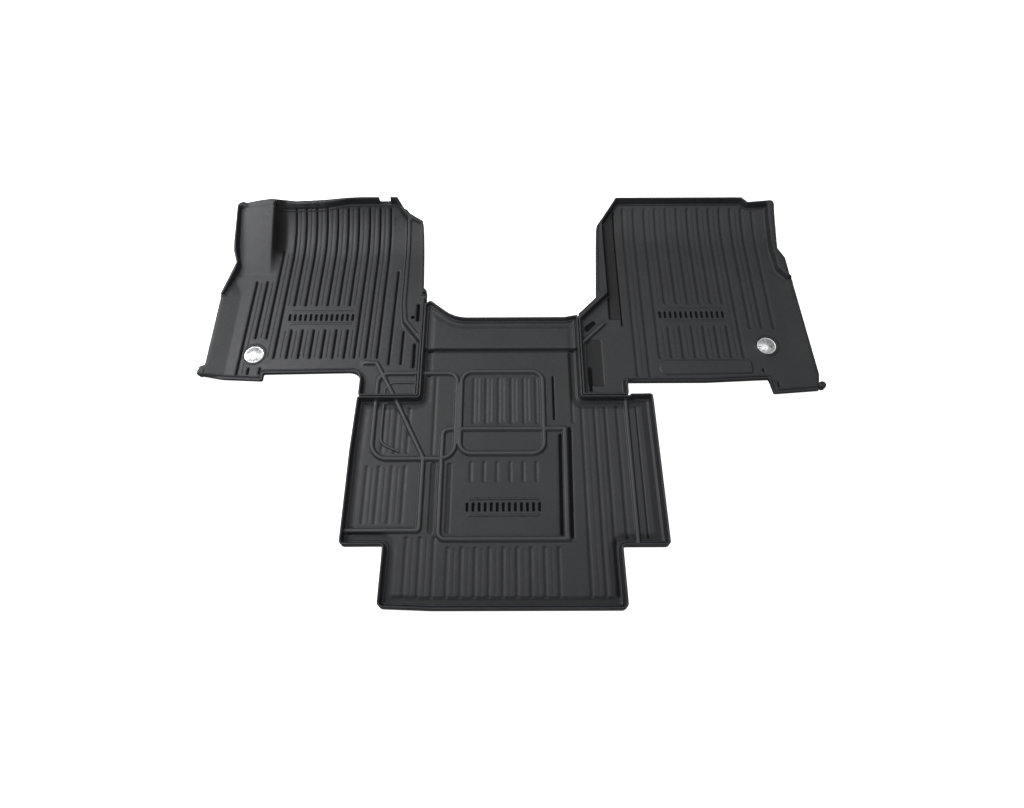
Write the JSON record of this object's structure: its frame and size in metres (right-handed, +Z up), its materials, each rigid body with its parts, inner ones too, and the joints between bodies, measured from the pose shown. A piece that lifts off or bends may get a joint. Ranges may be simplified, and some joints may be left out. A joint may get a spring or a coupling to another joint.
{
  "type": "floor mat set",
  "caption": "Moulded tray mats for a truck cab floor: driver mat with foot rest, passenger mat and a centre mat between the seats, each with raised rims and drain grooves",
  "frame": {"origin": "middle of the whole set's footprint, on the cab floor that the mats lie on", "axes": "+X to the passenger side (longest extent), +Y forward to the toe boards, +Z up from the floor"},
  "size_m": [1.933, 1.386, 0.099],
  "materials": {
    "mat": "satin",
    "badge_metal": "brushed",
    "badge_cover": "gloss",
    "badge_adhesive": "matte"
  },
  "bodies": {
    "centre": {"centre_mat": "mat"},
    "driver": {"driver_mat": "mat", "driver_badge_adhesive_pad": "badge_adhesive", "driver_badge_disc": "badge_metal", "driver_badge_cover": "badge_cover"},
    "passenger": {"passenger_mat": "mat", "passenger_badge_adhesive_pad": "badge_adhesive", "passenger_badge_disc": "badge_metal", "passenger_badge_cover": "badge_cover"}
  },
  "joints": [
    {"name": "driver_lift", "type": "slide", "parent": "centre", "child": "driver", "axis": [0, 0, 1], "range_m": [0, 0.25]},
    {"name": "passenger_lift", "type": "slide", "parent": "centre", "child": "passenger", "axis": [0, 0, 1], "range_m": [0, 0.25]}
  ]
}
